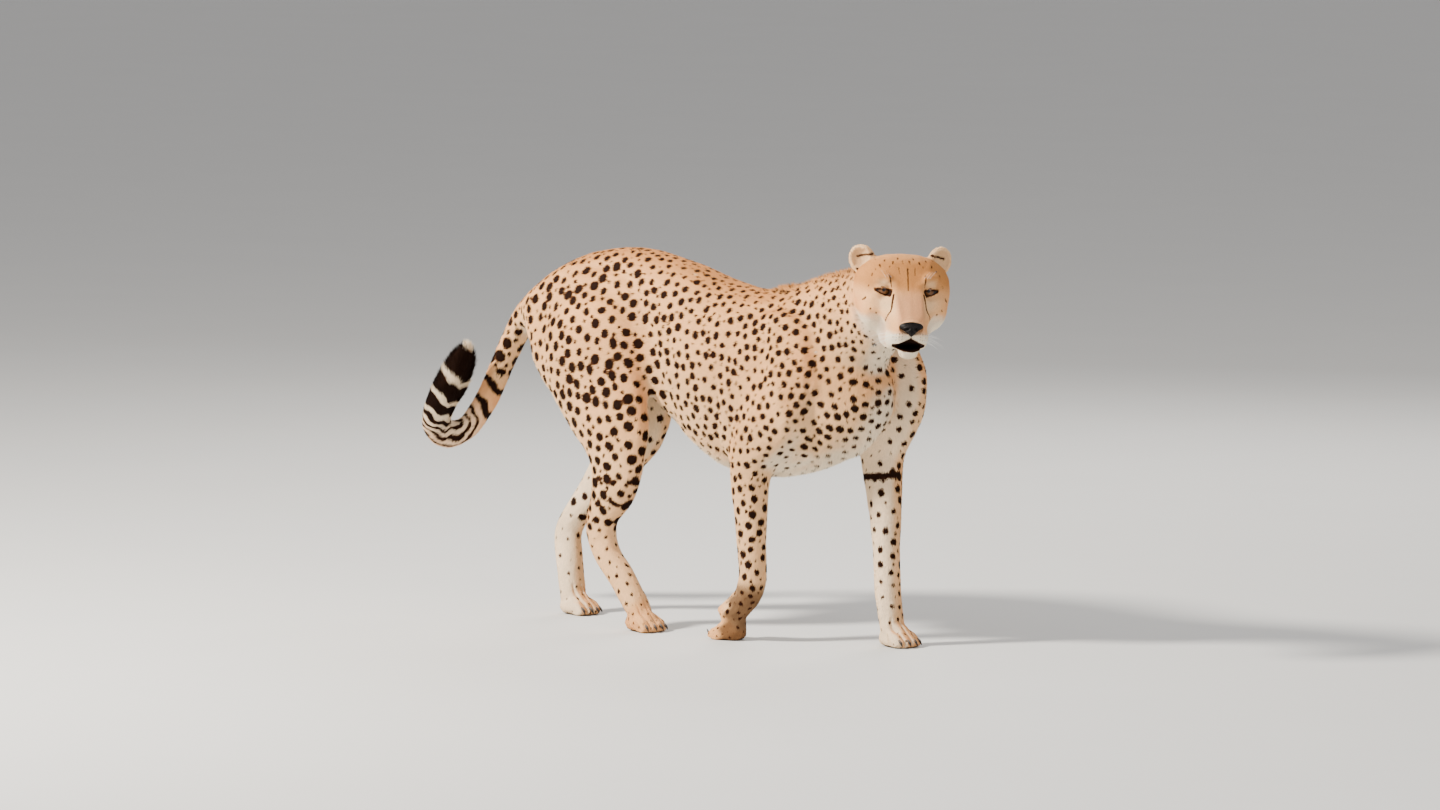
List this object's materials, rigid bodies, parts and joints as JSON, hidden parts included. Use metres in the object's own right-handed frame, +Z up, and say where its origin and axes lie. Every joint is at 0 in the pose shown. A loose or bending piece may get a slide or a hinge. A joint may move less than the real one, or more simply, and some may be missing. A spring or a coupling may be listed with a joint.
{
  "type": "cheetah",
  "caption": "Adult cheetah in a slow walk: small head turned to its right, deep chest, arched loins, long legs and a spotted tail curled up at the end.",
  "frame": {"origin": "middle of the bounding box, on the floor under the animal", "axes": "+X where the animal walks, +Y its left, +Z up"},
  "size_m": [1.3578, 0.3162, 0.7594],
  "materials": {
    "coat": "short matte fur, tan with dark spots",
    "eye": "wet",
    "nose": "moist, finely grained",
    "claw": "smooth horn"
  },
  "bodies": {
    "root": {"chest": "coat", "waist": "coat", "rump": "coat", "neck": "coat", "head": "coat", "nose": "nose", "ear_left": "coat", "ear_right": "coat", "eye_left": "eye", "eye_right": "eye", "upper_arm_left": "coat", "forearm_left": "coat", "pastern_fore_left": "coat", "paw_fore_left": "coat", "thigh_left": "coat", "shank_left": "coat", "metatarsus_left": "coat", "paw_hind_left": "coat", "upper_arm_right": "coat", "forearm_right": "coat", "pastern_fore_right": "coat", "paw_fore_right": "coat", "thigh_right": "coat", "shank_right": "coat", "metatarsus_right": "coat", "paw_hind_right": "coat", "tail_root": "coat", "tail_middle": "coat", "tail_bend": "coat", "tail_brush": "coat", "claw_fore_left_1": "claw", "claw_fore_left_2": "claw", "claw_fore_left_3": "claw", "claw_fore_left_4": "claw", "claw_fore_right_1": "claw", "claw_fore_right_2": "claw", "claw_fore_right_3": "claw", "claw_fore_right_4": "claw", "claw_hind_left_1": "claw", "claw_hind_left_2": "claw", "claw_hind_left_3": "claw", "claw_hind_left_4": "claw", "claw_hind_right_1": "claw", "claw_hind_right_2": "claw", "claw_hind_right_3": "claw", "claw_hind_right_4": "claw"}
  },
  "joints": []
}
